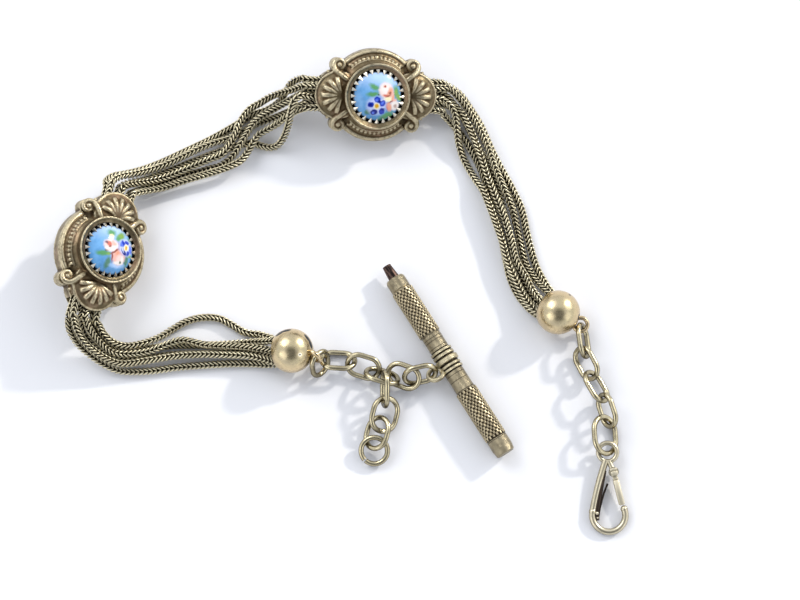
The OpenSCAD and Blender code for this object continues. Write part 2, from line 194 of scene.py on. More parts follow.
def smooth(piece, angle=None):
    """Shades the piece smooth, apart from edges sharper than the angle in degrees."""
    take(piece)
    if angle is None:
        bpy.ops.object.shade_smooth()
    else:
        bpy.ops.object.shade_smooth_by_angle(angle=math.radians(angle))


def place(point):
    """A point of the part in millimetres, in the frame's metres."""
    return (Vector(point) + SHIFT) * MM


def polar(radius, degrees, z=0.0, x=0.0):
    """A point at that angle on a level circle round (x, 0)."""
    angle = math.radians(degrees)
    return (x + radius * math.cos(angle), radius * math.sin(angle), z)


def heights(piece, tell):
    """Writes each point's height from 0 to 1, as tell says for its place."""
    layer = piece.data.attributes.new("height", "FLOAT", "POINT")
    for vertex, value in zip(piece.data.vertices, layer.data):
        value.value = min(1.0, max(0.0, tell(vertex.co)))


def dress(piece, material, body, slot, *nodes):
    """Gives a finished piece its material and body, and hides the nodes that it stands for. The slot is
    not used.
    """
    piece.data.materials.clear()
    piece.data.materials.append(material)
    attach(piece, body)
    if nodes:
        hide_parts(*nodes)


def coat(name, material):
    """Gives a solid that keeps its shape its material."""
    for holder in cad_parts[name].material_slots:
        holder.material = material


class Look:
    """A material under construction: tone is its colour so far, place what its patterns read."""

    def __init__(self, name, tone):
        self.tone = tone
        self.material = bpy.data.materials.new(name)
        self.material.use_nodes = True
        self.tree = self.material.node_tree
        self.shader = self.tree.nodes["Principled BSDF"]
        self.place = self.node("TexCoord").outputs["Object"]

    def feed(self, socket, value):
        """Links an output to the socket, or sets the socket's own colour or number."""
        if isinstance(value, bpy.types.NodeSocket):
            self.tree.links.new(value, socket)
        else:
            socket.default_value = (*value, 1.0) if socket.type == "RGBA" else value

    def node(self, kind, inputs=(), **settings):
        """A new node with its settings, and its inputs by name or number."""
        made = self.tree.nodes.new("ShaderNode" + kind)
        made.location = (-220 * len(self.tree.nodes), 0)
        for key, value in settings.items():
            setattr(made, key, value)
        for key, value in dict(inputs).items():
            self.feed(made.inputs[key], value)
        return made

    def seen_from(self, middle, turn, size):
        """The places as a frame of that middle, turn and size has them."""
        return self.node("Mapping", {"Vector": self.place, "Location": middle, "Rotation": turn,
                                     "Scale": size}, vector_type="TEXTURE").outputs["Vector"]

    def local(self, origin, turn):
        """From here on places are in millimetres in a frame of that middle and turn."""
        self.place = self.seen_from(place(origin), turn.to_euler(), (MM, MM, MM))

    def fit(self, value, source=(0, 1), result=(0, 1)):
        """Turns one span of values into another."""
        ends = zip(("From Min", "From Max", "To Min", "To Max"), (*source, *result))
        return self.node("MapRange", {"Value": value, **dict(ends)}).outputs["Result"]

    def waver(self, amount, scale):
        """Shakes the places a little, as a brush does."""
        shake = self.node("TexNoise", {"Vector": self.place, "Scale": scale})
        centred = self.node("VectorMath", {0: shake.outputs["Color"], 1: (0.5, 0.5, 0.5)},
                            operation="SUBTRACT")
        shaken = self.node("VectorMath", {0: centred.outputs["Vector"], 1: (amount, amount, amount),
                                          2: self.place}, operation="MULTIPLY_ADD")
        self.place = shaken.outputs["Vector"]

    def spot(self, where, size, turn=0.0, edge=0.2):
        """1 inside an ellipsoid of that middle, half lengths and turn round Z, and 0 outside."""
        seen = self.seen_from(where, (0, 0, math.radians(turn)), size)
        far = self.node("VectorMath", {0: seen}, operation="LENGTH")
        return self.fit(far.outputs["Value"], (1 + edge, 1 - edge))

    def sides(self):
        """0 where the surface looks up and 1 where it looks sideways or down."""
        normal = self.node("TexCoord").outputs["Normal"]
        return self.fit(self.node("SeparateXYZ", {"Vector": normal}).outputs["Z"], (0.8, 0.3))

    def noise(self, scale, detail=4.0, rough=0.55):
        return self.node("TexNoise", {"Vector": self.place, "Scale": scale, "Detail": detail,
                                      "Roughness": rough}).outputs["Fac"]

    def ramp(self, value, start, end):
        """Turns a value into greys between two stops of (position, grey)."""
        made = self.node("ValToRGB", {"Fac": value})
        for element, (position, grey) in zip(made.color_ramp.elements, (start, end)):
            element.position = position
            element.color = (grey, grey, grey, 1.0)
        return made.outputs["Color"]

    def patches(self, scale, detail, rough, start, end, most=1.0):
        """Soft patches of noise, from 0 up to most."""
        return self.ramp(self.noise(scale, detail, rough), (start, 0.0), (end, most))

    def mix(self, share, first, second):
        """The first colour where share is 0 and the second where it is 1."""
        return self.node("Mix", {"Factor": share, 6: first, 7: second}, data_type="RGBA").outputs[2]

    def lay(self, mask, tint, strength=None):
        """Lays a colour over the tone where the mask is 1, at that strength if one is given."""
        if strength is not None:
            mask = self.math("MULTIPLY", mask, strength)
        self.tone = self.mix(mask, self.tone, tint)

    def lay_round(self, mask, tint):
        """Lays a colour over the tone where the mask is 0."""
        self.tone = self.mix(mask, tint, self.tone)

    def math(self, operation, first, second):
        return self.node("Math", {0: first, 1: second}, operation=operation, use_clamp=True).outputs[0]

    def bump(self, height, strength, distance):
        made = self.node("Bump", {"Height": height, "Strength": strength, "Distance": distance})
        self.feed(self.shader.inputs["Normal"], made.outputs["Normal"])

    def height(self):
        """The height attribute of a piece that has one."""
        return self.node("Attribute", attribute_name="height").outputs["Fac"]

    def finished(self, rough, metallic=1.0):
        """Feeds the shader and gives the material."""
        for key, value in (("Base Color", self.tone), ("Metallic", metallic), ("Roughness", rough)):
            self.feed(self.shader.inputs[key], value)
        return self.material


def worn_metal(name, bright, dark, low, high, grain, share, recess_shade=False, shade=0.0):
    """Pale metal with tarnish in soft patches and fine scratches.

    low and high are its roughness, grain the patches' fineness and share their strength. Painted shade
    darkens it in recesses if the piece has heights, and by shade where the surface looks sideways or down.
    """
    look = Look(name, bright)
    patch = look.patches(grain, 5.0, 0.62, 0.36, 0.66)
    look.lay(patch, tuple(b * 0.52 + d * 0.48 for b, d in zip(bright, dark)), share)
    # painted shade where the surface looks sideways or down
    if shade:
        look.lay(look.sides(), dark, shade)
    # painted shade in the recesses, from the piece's heights
    if recess_shade:
        look.lay_round(look.height(), dark)
    look.bump(look.noise(2600.0, 3.0, 0.6), 0.12, 0.00004)
    return look.finished(look.fit(patch, result=(low, high)))


# The slides' flat backs: middle, tip, way of the tip and turn, in millimetres and degrees
LEFT_SLIDE = ((-46.2, 4.65, 5.0), 34, -5, 75)
TOP_SLIDE = ((6.36, 36.91, 3.91), 24, -65, 0)
# Heights of the strands' two layers in the slides and on the table
LOWER, UPPER = 1.3, 3.0
FLAT, OVER = 0.8, 2.45

# Points, in millimetres, of the six routes from the left ball to the left slide, on to
# the top slide and on to the right ball. Points of two numbers lie on the table, and the pairs
# between the lists are the strand's place across and its height in each slide.
ROUTES = {
    "strand_1": (
        [(-8.5, -16.1, 3.5), (-10.9, -16.1, 2.4), (-13.5, -16, 1.2), (-16.5, -15.8), (-21, -15.8),
         (-26, -16.1), (-31, -16.5), (-36, -17.2), (-41, -17.3, 1), (-44.2, -16.3, 1.9),
         (-47, -14.6, 3.3), (-49.2, -12.7, 5), (-50.5, -10.4, 6.9), (-50.6, -8.3, 8)],
        (2.35, LOWER),
        [(-44.7, 18.8, 5.6), (-43.4, 20.3, 4.4), (-41, 21.2, 2.9), (-38, 22.5, 1.4), (-34.5, 24.1),
         (-30, 26.3), (-25, 28.8), (-20.5, 31.5), (-17.2, 33.6), (-14.2, 34.6, 1.2), (-12, 35.8, 2.3),
         (-10.6, 37.2, 3.9), (-9.4, 38.6, 5.6), (-7.4, 39, 7.3)],
        (2.65, LOWER),
        [(21, 38.9, 2.9), (23.6, 37.4, 1.6), (25.6, 34.6, 0.9), (27.4, 31.6), (28.7, 28.5), (30.2, 25),
         (32, 21.5), (33.8, 18), (35.3, 14.4), (36.1, 10.4), (36.9, 6.8), (38, 3), (39.7, -0.3),
         (40.8, -2.1, 1.5), (41.3, -3.5, 2.4), (43.2, -4.9, 3.5)]),
    "strand_2": (
        [(-9.2, -16.1, 5), (-11.6, -16.1, 3.9), (-14, -15.3, 2.9), (-17, -14.6, OVER),
         (-21, -14.4, OVER), (-26, -14.3, OVER), (-31, -14.6, OVER), (-36, -15.4, OVER),
         (-41, -16.1, 2.6), (-44.2, -15.2, 3.7), (-46.9, -13.4, 5.5), (-48.6, -11.2, 7.6),
         (-49.3, -8.8, 9.3)],
        (2.35, UPPER),
        [(-43.2, 18.6, 6.9), (-41.8, 19.9, 5.5), (-39.5, 20.8, 4), (-36.5, 22, 2.7), (-33, 23.5, 2.2),
         (-28.5, 25.8, 2.2), (-24.8, 27.5, 1.9), (-21.5, 28.9, 0.9), (-18.8, 30.4), (-16.2, 31.9),
         (-13.5, 32.6, 1.4), (-11, 33.2, 2.7), (-8.7, 33.8, 4.5), (-6.8, 34.3, 6)],
        (-1.55, LOWER),
        [(20.5, 35.5, 1.4), (22.4, 34.9), (24, 33.1), (25.3, 30.6), (26.5, 28), (28.2, 24.8),
         (29.6, 21.5), (31, 17.6), (32.1, 13), (32.9, 9), (33.8, 4.6), (35.2, 0.8), (36.6, -2),
         (38.2, -4, 1.4), (40.1, -5.4, 2.4), (42, -6.7, 3.5)]),
    "strand_3": (
        [(-8.5, -13.9, 3.5), (-10.9, -13.9, 2.4), (-13.5, -13.9, 1.2), (-16.5, -13.6), (-21, -13.6),
         (-26, -13.9), (-31, -14), (-36, -14.7), (-41, -15.1, 1.1), (-43.9, -14.3, 2.2),
         (-46.4, -12.9, 3.8), (-47.9, -10.7, 5.7), (-48.3, -8.8, 6.9)],
        (0, LOWER),
        [(-42, 18.2, 4.4), (-40.3, 19.3, 3.1), (-37.5, 20.4, 1.6), (-34, 21.9), (-29, 24), (-24.5, 25.8),
         (-20.8, 27.1), (-17.5, 27.9), (-14.4, 27.1), (-12.4, 27.2, 1.1), (-10.9, 28.4, 2.8),
         (-9.8, 30.3, 5.6), (-9.2, 32.2, 8), (-8.6, 33.8, 9.1), (-7.2, 34.9, 9.3)],
        (-0.55, UPPER),
        [(20.4, 35.4, 4), (21.8, 34.2, 3.8), (22.5, 32.6, 3.2), (22.8, 30.4, 2.6), (23.1, 27.8, 1.7),
         (24, 25), (25.2, 22.6), (26.4, 20.4, 1.3), (27.7, 18.2, 2.2), (28.7, 15.6, OVER),
         (30, 12, OVER), (31.3, 8, OVER), (32.3, 4, OVER), (33.6, 0.8, OVER), (34.9, -2, OVER),
         (36.4, -4.6, 3), (38.2, -6.7, 3.9), (40.2, -8.1, 5)]),
    "strand_4": (
        [(-9.2, -13.9, 5), (-11.6, -13.9, 3.9), (-14, -13.4, 2.9), (-17, -12.9, OVER),
         (-21, -12.6, OVER), (-25.5, -12.4, OVER), (-29.5, -11.5, OVER), (-32.6, -12.3, OVER),
         (-36, -13.7, 2.5), (-40, -14.3, 2.6), (-43, -14, 3.5), (-45.2, -12.3, 5.3), (-46.6, -10.6, 7.2),
         (-47.3, -8.8, 8.2)],
        (0, UPPER),
        [(-41, 17.9, 5.7), (-39.3, 18.8, 4.4), (-36.5, 19.7, 2.9), (-33.5, 20.7, 2.2), (-29.5, 22.4, 2.2),
         (-25.8, 24, 2.4), (-23, 25.2, OVER), (-21.4, 27.2, 2.5), (-20.2, 29.5, 2.5), (-19.2, 32, 2.5),
         (-17.6, 34.2, 2.6), (-15.6, 35.3, 3.1), (-13.4, 36.3, 4.2), (-11.2, 36.6, 5.8), (-9, 36.7, 7.3),
         (-7, 37, 8.9)],
        (1.55, UPPER),
        [(21.3, 37.9, 4.1), (23.4, 36.2, 3.1), (25.2, 34, OVER), (26.5, 31.6, OVER),
         (27.8, 28.9, OVER), (28.9, 26.2, OVER), (29.8, 23.5, OVER), (30.9, 20.6, OVER),
         (32.2, 17.5, 2.2), (33.5, 14.4, 1.3), (34.3, 11), (34.9, 8), (35.8, 4), (36.9, 1.8, 1.1),
         (38.2, -0.2, 2), (39.6, -2, 3.2), (40.7, -3.1, 3.9), (42.7, -4.5, 5)]),
    "strand_5": (
        [(-9.2, -11.7, 5), (-11.6, -11.7, 3.9), (-14, -11.7, 2.4), (-16.5, -11.6, 1.1), (-19, -11.8),
         (-23, -12.1), (-28, -12.2), (-32, -12.3), (-36, -12.8), (-40.5, -13.4, 1), (-43, -12.9, 1.9),
         (-45, -11.4, 3.3), (-46.1, -9.6, 4.7)],
        (-2.35, LOWER),
        [(-40, 17.2, 3.1), (-38.3, 18.2, 1.9), (-35, 19.3, 0.9), (-30.5, 21.1), (-26, 22.5),
         (-23, 23.4, 1), (-20.7, 25.1, 1.9), (-19.3, 27.3, 2.5), (-18.1, 29.4, 2.5), (-16.8, 31.5, 2.6),
         (-14.8, 33, 3), (-12.3, 34.2, 3.9), (-10.2, 35, 5), (-8, 35.8, 6.3), (-6.6, 36.3, 7)],
        (0.55, LOWER),
        [(20.8, 36.8, 2.8), (22.4, 35, 2.4), (23.9, 33.1, OVER), (25.1, 30.8, OVER),
         (26.1, 28.4, OVER), (27, 26, OVER), (27.8, 23.6, OVER), (28.6, 21, OVER),
         (29.7, 18, OVER), (30.9, 15, OVER), (32, 12, OVER), (33.1, 8, OVER), (34, 4, OVER),
         (35.7, 1, OVER), (36.9, -1.5, 2.5), (38.1, -3.4, 3.1), (39.5, -4.9, 3.9), (41.4, -6.3, 5)]),
    "strand_6": (
        [(-8.5, -11.7, 3.5), (-10.9, -11.7, 2.4), (-13.2, -10.8, 1.2), (-15.4, -10.1), (-18, -9.7),
         (-20.6, -8.2), (-23, -7), (-26, -6.8), (-29, -7.5), (-31.8, -9.1, 0.9), (-34.2, -10.8, 1.6),
         (-36.8, -12, 2.3), (-40, -12.7, 2.6), (-42.5, -12.3, 3.4), (-44.2, -11, 4.8), (-45.1, -9.4, 6.3)],
        (-2.35, UPPER),
        [(-39, 16.9, 4.3), (-37.3, 17.7, 3.1), (-34, 18.6, 2.2), (-30, 20, 2.2), (-26, 21.2, 2.2),
         (-22.5, 22.3, 2.4), (-19.2, 23.9, OVER), (-17.3, 26.6, 2.5), (-16, 28.9, 2.5),
         (-14, 30.2, 2.6), (-12, 31.2, 3.4), (-10.2, 32.2, 4.9), (-8.2, 32.8, 6.4), (-6.6, 33, 7.4)],
        (-2.65, UPPER),
        [(20.4, 32.9, 2.3), (21.8, 31.8, 1.2), (23.1, 30.2), (24.7, 28), (25.8, 26), (26.8, 24),
         (27.8, 21.5), (28.8, 18.4), (29.8, 15), (30.6, 12), (31.5, 8), (32.2, 4), (33, 0.6),
         (34.5, -2.6), (36.6, -5.3, 1.4), (38.8, -7.2, 2.4), (40.7, -8.5, 3.5)]),
}


def slide_turn(slide):
    """The turn of a slide: round its own axis first, then tipped, then turned back."""
    _, tip, way, turn = slide
    return (Matrix.Rotation(math.radians(way), 3, "Z") @ Matrix.Rotation(math.radians(tip), 3, "Y")
            @ Matrix.Rotation(math.radians(turn - way), 3, "Z"))


def lane(slide, across, height):
    """Three points of a strand's way through a slide."""
    turn = slide_turn(slide)
    return [Vector(slide[0]) + turn @ Vector((along, across, height)) for along in (-12, 0, 12)]


def bend(a, b, c, d, t):
    """A point on the smooth curve between b and c."""
    return b + t / 2 * ((c - a) + t * ((2 * a - 5 * b + 4 * c - d) + t * (3 * (b - c) + d - a)))


def loose(points):
    """A strand's points between the slides."""
    return [Vector((*point, FLAT)[:3]) for point in points]


def route_line(name, steps=8):
    """A strand's smooth middle line in the frame's metres."""
    first, left, second, top, third = ROUTES[name]
    points = (loose(first) + lane(LEFT_SLIDE, *left) + loose(second) + lane(TOP_SLIDE, *top)
              + loose(third))
    ends = [points[0]] + points + [points[-1]]
    line = [bend(*ends[i:i + 4], step / steps) for i in range(len(points) - 1) for step in range(steps)]
    return [place(point) for point in line + [points[-1]]]


def path_object(name, line, tilt, twist):
    """A curve through the line's points, for a mesh to follow."""
    data = bpy.data.curves.new(name, "CURVE")
    data.dimensions = "3D"
    data.twist_mode = "MINIMUM"
    spline = data.splines.new("POLY")
    spline.points.add(len(line) - 1)
    for i, (point, where) in enumerate(zip(spline.points, line)):
        point.co = (*where, 1.0)
        point.tilt = tilt + twist * i / len(line)
    return linked(name, data)


def stitch_piece(stitch, wire):
    """One stitch of a foxtail braid along X: four slanted wires round a core, with painted shade on the
    core and between the wires.
    """
    half_length, braid_radius, core_radius, slant = 0.0008, 0.000725, 0.0004, 35
    thick = 1.3 * wire
    parts = [added("core", bpy.ops.mesh.primitive_cylinder_add, vertices=6, radius=core_radius,
                   depth=stitch, end_fill_type="NOTHING", rotation=(0, math.radians(90), 0))]
    for quarter in range(4):
        turn = math.radians(slant if quarter % 2 else -slant)
        grain = added("grain", bpy.ops.mesh.primitive_uv_sphere_add, segments=6, ring_count=5, radius=1.0)
        moved(grain, scale=(half_length, wire, thick), rotation_euler=(0, 0, turn))
        moved(grain, location=(0, 0, braid_radius - thick))
        parts.append(moved(grain, rotation_euler=(math.radians(90 * quarter), 0, 0)))
    piece = joined("stitch", parts)
    # heights from the axis, for the painted shade between the wires and on the core
    recess_shade, rise = 0.00054, 0.00016
    heights(piece, lambda co: (math.hypot(co.y, co.z) - recess_shade) / rise)
    return piece


class FOB_OT_strands(bpy.types.Operator):
    """Braids the six strands along their routes"""
    bl_idname = "fob.strands"
    bl_label = "Braided strands"

    def execute(self, context):
        sizes = context.scene.fob_strands
        stitch = stitch_piece(sizes.stitch, sizes.wire)
        # the braid's material paints shade between the wires and on the core, from the stitch's heights
        metal = worn_metal("Worn braid with painted shade", sizes.bright, sizes.dark, 0.28, 0.45, 260.0, 0.6, recess_shade=True)
        for number, name in enumerate(ROUTES):
            line = route_line(name)
            run = sum((b - a).length for a, b in zip(line, line[1:]))
            count = round(run / sizes.stitch)
            # each strand starts and twists a little differently
            path = path_object(name + "_path", line, 0.4 * number, math.radians(200 + 70 * number))
            strand = moved(twin(stitch, name + "_braid"), location=(sizes.stitch / 2, 0, 0))
            apply(strand, "ARRAY", count=count, use_relative_offset=False, use_constant_offset=True,
                  constant_offset_displace=(run / count, 0, 0))
            apply(strand, "CURVE", object=path, deform_axis="POS_X")
            smooth(strand)
            remove(path)
            dress(strand, metal, "fob", "strand_metal", name)
        remove(stitch)
        return {"FINISHED"}


def at_slide(slide):
    """Where a slide that is modelled flat, in millimetres, comes to lie in the frame."""
    return Matrix.Translation(place(slide[0])) @ slide_turn(slide).to_4x4() @ Matrix.Scale(MM, 4)


def turned(name, profile, steps=96):
    """A body turned round Z from (radius, height) points."""
    data = bpy.data.meshes.new(name)
    data.from_pydata([(x, 0, z) for x, z in profile], [(i, i + 1) for i in range(len(profile) - 1)], [])
    piece = linked(name, data)
    edit(piece, "VERT")
    bpy.ops.mesh.spin(steps=steps, angle=2 * math.pi, center=(0, 0, 0), axis=(0, 0, 1))
    bpy.ops.mesh.select_all(action="SELECT")
    bpy.ops.mesh.remove_doubles(threshold=0.0001)
    bpy.ops.mesh.normals_make_consistent(inside=False)
    rest()
    return piece


def wire(name, points, radii, order=4):
    """A round wire along smooth points, as thick at each point as radii says."""
    data = bpy.data.curves.new(name, "CURVE")
    data.dimensions = "3D"
    data.bevel_depth = 1.0
    data.bevel_resolution = 2
    data.resolution_u = 6
    data.use_fill_caps = True
    spline = data.splines.new("NURBS")
    spline.points.add(len(points) - 1)
    for point, where, radius in zip(spline.points, points, radii):
        point.co = (*where, 1.0)
        point.radius = radius
    spline.order_u = min(order, len(points))
    spline.use_endpoint_u = True
    take(linked(name, data))
    bpy.ops.object.convert(target="MESH")
    return bpy.context.object


def drum(radius, low, high, x=0.0, y=0.0, sides=64, top=None):
    """A short cylinder or cone that stands on its flat end."""
    return added("drum", bpy.ops.mesh.primitive_cone_add, vertices=sides, radius1=radius,
                 radius2=radius if top is None else top, depth=high - low,
                 location=(x, y, (low + high) / 2))


def bead(x, y, z, size, turn=0.0):
    """A small rounded bead; size is its half length, width and height."""
    return added("bead", bpy.ops.mesh.primitive_uv_sphere_add, segments=12, ring_count=8, radius=1.0,
                 location=(x, y, z), rotation=(0, 0, turn), scale=size)


# The cast slide's plate is this thick, and its shells' middles lie this far out, in millimetres
PLATE = 2.4
SHELL_X = 7.2
# The height that marks the painted black shade under the claws
PAINTED_SHADE_MARK = -1.0


def quarter_scroll():
    """The scroll of one quarter: a strap from the collar that curls into a volute round a bead."""
    strap = [(5.6, 2.9, 4.7), (6.2, 3.4, 4.7), (7.1, 3.9, 4.4), (8.0, 4.6, 3.9), (8.35, 5.5, 3.5),
             (8.05, 6.4, 3.3), (7.2, 6.8, 3.25), (6.4, 6.45, 3.3), (6.15, 5.7, 3.4), (6.5, 5.1, 3.5),
             (7.15, 5.0, 3.55), (7.45, 5.4, 3.6)]
    # the leaf fills the corner between the strap and the shell
    leaf = [(8.3, 3.2, 3.3), (9.0, 3.9, 3.0), (9.3, 4.6, 2.4)]
    return joined("scroll", [
        wire("strap", strap, [0.34, 0.5, 0.58, 0.6, 0.56, 0.5, 0.44, 0.42, 0.42, 0.42, 0.4, 0.34]),
        bead(7.2, 5.7, 3.5, (0.55, 0.55, 0.6)),
        wire("leaf", leaf, [0.3, 0.55, 0.3], 3)])


def shell_end():
    """The fluted shell of one end, on its low dome."""
    parts = [drum(4.7, 2.2, 4.2, SHELL_X, top=4.5),
             added("dome", bpy.ops.mesh.primitive_uv_sphere_add, segments=48, ring_count=24, radius=1.0,
                   location=(7.1, 0, 3.7), scale=(4.6, 4.6, 1.5))]
    for degrees in range(-75, 76, 25):
        reach = 3.75 - 0.35 * (degrees / 75) ** 2
        ray = [polar(reach * share, degrees * (0.8 + 0.2 * share), height, 6.5 + 0.3 * share)
               for share, height in ((0.15, 5.05), (0.4, 5.2), (0.65, 5.15), (0.85, 4.9), (1.0, 4.55))]
        parts.append(wire("flute", ray, [0.2, 0.36, 0.5, 0.58, 0.44]))
    for radius, height, thick in ((4.5, 4.05, 0.24), (4.6, PLATE, 0.3)):
        rim = [polar(radius, degrees, height, SHELL_X) for degrees in range(-84, 85, 12)]
        parts.append(wire("rim", rim, [thick] * len(rim)))
    # two small curls where the shell meets the collar
    for side in (-1, 1):
        curl = [(6.2, side * 2.4, 4.5), (6.9, side * 1.9, 4.9), (7.1, side * 1.1, 5.0),
                (6.7, side * 0.6, 5.0), (6.4, side * 0.9, 4.9)]
        parts.append(wire("curl", curl, [0.22, 0.34, 0.34, 0.3, 0.2]))
    return joined("shell", parts)


def rows(items, key, size, kind=float):
    """One value of all items, in rows of that size."""
    values = np.empty(len(items) * size, kind)
    items.foreach_get(key, values)
    return values.reshape(-1, size)


def relief(piece):
    """Writes how high each point stands over its surroundings, 0 in a groove and 1 on a crest."""
    data = piece.data
    count = len(data.vertices)
    spot, normal = rows(data.vertices, "co", 3), rows(data.vertices, "normal", 3)
    pairs = rows(data.edges, "vertices", 2, int)
    here, there = np.concatenate([pairs, pairs[:, ::-1]]).T
    degree = np.maximum(np.bincount(here, minlength=count), 1)
    soft, high = spot.copy(), np.zeros(count)
    # the surface after so many rounds of smoothing, and how deep that round's relief is
    depths = {4: 0.06, 12: 0.14, 36: 0.3}
    for number in range(1, max(depths) + 1):
        soft = np.stack([np.bincount(here, soft[there, axis], count) / degree for axis in range(3)], 1)
        if number in depths:
            high += np.einsum("ij,ij->i", spot - soft, normal) / depths[number]
    layer = data.attributes.new("height", "FLOAT", "POINT")
    layer.data.foreach_set("value", np.clip(0.5 + 0.4 * high, 0, 1))


def cast_slide(grain):
    """One slide in one casting, flat and in millimetres: back, border, collar, scrolls and shells."""
    parts = [drum(8.95, 0, PLATE, sides=128), drum(8.3, 2.3, 4.0, sides=128, top=6.6)]
    for side in (-1, 1):
        parts.append(drum(4.75, 0, PLATE, SHELL_X * side))
        for up in (-1, 1):
            parts.append(drum(1.45, 0, PLATE, 7.3 * side, 5.6 * up, 32))
    parts.append(turned("collar", [(0, 3.0), (6.6, 3.0), (6.5, 4.1), (6.1, 4.5), (6.0, 5.7), (6.3, 6.1),
                                   (6.38, 6.3), (6.28, 6.55), (6.1, 6.55), (5.95, 6.3), (5.55, 6.05),
                                   (5.2, 5.95), (5.12, 5.2), (0, 5.2)]))
    for start in (46, 226):
        for radius, height, thick in ((8.32, 2.5, 0.55), (7.72, 3.05, 0.17), (6.95, 3.72, 0.15)):
            arc = [polar(radius, start + 8 * step, height) for step in range(12)]
            parts.append(wire("border", arc, [thick * 0.8] + [thick] * 10 + [thick * 0.8], 3))
        for step in range(-6, 7):
            degrees = start + 44 + 6.6 * step
            parts.append(bead(*polar(7.33, degrees, 3.42), (0.27, 0.36, 0.3), math.radians(degrees)))
    scroll = quarter_scroll()
    shell = shell_end()
    for side in (1, -1):
        for up in (1, -1):
            copy = moved(twin(scroll, "scroll_copy"), scale=(side, up, 1))
            if side * up < 0:
                edit(copy)
                bpy.ops.mesh.flip_normals()
                rest()
            parts.append(copy)
        turn = 0 if side > 0 else math.pi
        parts.append(moved(twin(shell, "shell_copy"), rotation_euler=(0, 0, turn)))
    remove(scroll)
    remove(shell)
    piece = joined("slide", parts)
    apply(piece, "REMESH", mode="VOXEL", voxel_size=grain / MM, use_smooth_shade=True)
    apply(piece, "SMOOTH", factor=0.5, iterations=2)
    slot = added("strand_slot", bpy.ops.mesh.primitive_cube_add, size=1.0, location=(0, 0, 2.15),
                 scale=(30, 7.0, 3.6))
    apply(piece, "BOOLEAN", object=slot, operation="DIFFERENCE", solver="FAST")
    remove(slot)
    relief(piece)
    # painted black shade under the claws, brown on the collar's inner slope
    for vertex, value in zip(piece.data.vertices, piece.data.attributes["height"].data):
        out, high = math.hypot(vertex.co.x, vertex.co.y), vertex.co.z
        if out < 5.22 and 4.9 < high < 5.85:
            value.value = PAINTED_SHADE_MARK
        elif out < 6.0 and high > 5.5:
            value.value = min(0.5, value.value)
    return piece


def claw_ring(count):
    """The saw-toothed claws that hold the enamel, flat and in millimetres."""
    claw = added("claw", bpy.ops.mesh.primitive_cone_add, vertices=3, radius1=0.43, radius2=0.03,
                 depth=0.95, rotation=(0, 0, -math.pi / 2))
    moved(claw, scale=(0.32, 1.0, 1.0))
    moved(claw, location=(4.7, 0, 6.1), rotation_euler=(0, math.radians(-70), 0))
    teeth = [moved(twin(claw, "tooth"), rotation_euler=(0, 0, 2 * math.pi * number / count))
             for number in range(count)]
    remove(claw)
    ring = joined("claws", teeth)
    # the claws darken towards their roots: painted shade of the recess they stand in
    heights(ring, lambda co: (co.z - 5.6) / 0.3)
    return ring


def cast_metal(sizes):
    """Cast metal: rubbed pale on its crests, brown and pinkish between, dark in its grooves."""
    brown, deep_brown, pink, blotch = (
        (0.245, 0.193, 0.112), (0.125, 0.098, 0.054), (0.30, 0.195, 0.125), (0.11, 0.082, 0.045))
    look = Look("Cast slide metal", brown)
    height = look.height()
    patch = look.patches(420.0, 6.0, 0.65, 0.38, 0.62)
    look.lay(patch, deep_brown)
    look.lay(look.patches(230.0, 4.0, 0.6, 0.5, 0.66, 0.8), pink)
    look.lay(look.ramp(height, (0.52, 0.0), (0.92, 1.0)), sizes.bright)
    look.lay(look.patches(1300.0, 4.0, 0.7, 0.5, 0.62, 0.6), blotch)
    look.lay(look.ramp(height, (0.05, 1.0), (0.42, 0.0)), sizes.dark)
    # painted black shade under the claws
    look.lay(look.math("LESS_THAN", height, 0.4 * PAINTED_SHADE_MARK), (0.004, 0.004, 0.004))
    look.bump(look.noise(1300.0, 5.0, 0.68), 0.6, 0.00014)
    return look.finished(look.fit(patch, result=(0.3, 0.52)))


class FOB_OT_slides(bpy.types.Operator):
    """Casts the two slides with their scrolls, shells and claws"""
    bl_idname = "fob.slides"
    bl_label = "Slides"

    def execute(self, context):
        sizes = context.scene.fob_slides
        metal = cast_metal(sizes)
        # the claws' material paints shade towards their roots, from their heights
        tooth = worn_metal("Claw metal", (0.66, 0.61, 0.5), (0.01, 0.008, 0.006), 0.2, 0.34, 300.0, 0.2,
                           recess_shade=True)
        slide = cast_slide(sizes.grain)
        claws = claw_ring(sizes.teeth)
        for name, where in (("slide_left", LEFT_SLIDE), ("slide_top", TOP_SLIDE)):
            lies = at_slide(where)
            cast = moved(twin(slide, name + "_cast"), matrix_world=lies)
            dress(cast, metal, "fob", "slide_metal", name)
            ring = moved(twin(claws, name + "_claws"), matrix_world=lies)
            dress(ring, tooth, "fob", "slide_metal")
        remove(slide)
        remove(claws)
        return {"FINISHED"}


def paint(red, green, blue):
    """A paint's colour from its everyday 0 to 255 values."""
    return tuple(((value / 255 + 0.055) / 1.055) ** 2.4 for value in (red, green, blue))


PAINTS = {name: paint(*values) for name, values in {
    "haze": (178, 208, 246), "leaf": (92, 155, 100), "olive": (128, 168, 82),
    "moss": (72, 125, 102), "bark": (70, 95, 62), "white": (240, 232, 226),
    "blush": (243, 212, 204), "rose": (236, 180, 165), "peach": (232, 160, 130),
    "coral": (208, 108, 88), "umber": (148, 76, 56), "plum": (110, 74, 92),
    "stone": (186, 160, 150), "lilac": (196, 206, 247), "blue": (28, 58, 180),
    "navy": (4, 22, 125), "azure": (90, 120, 232), "cream": (246, 236, 190),
    "gold": (218, 160, 24),
}.items()}
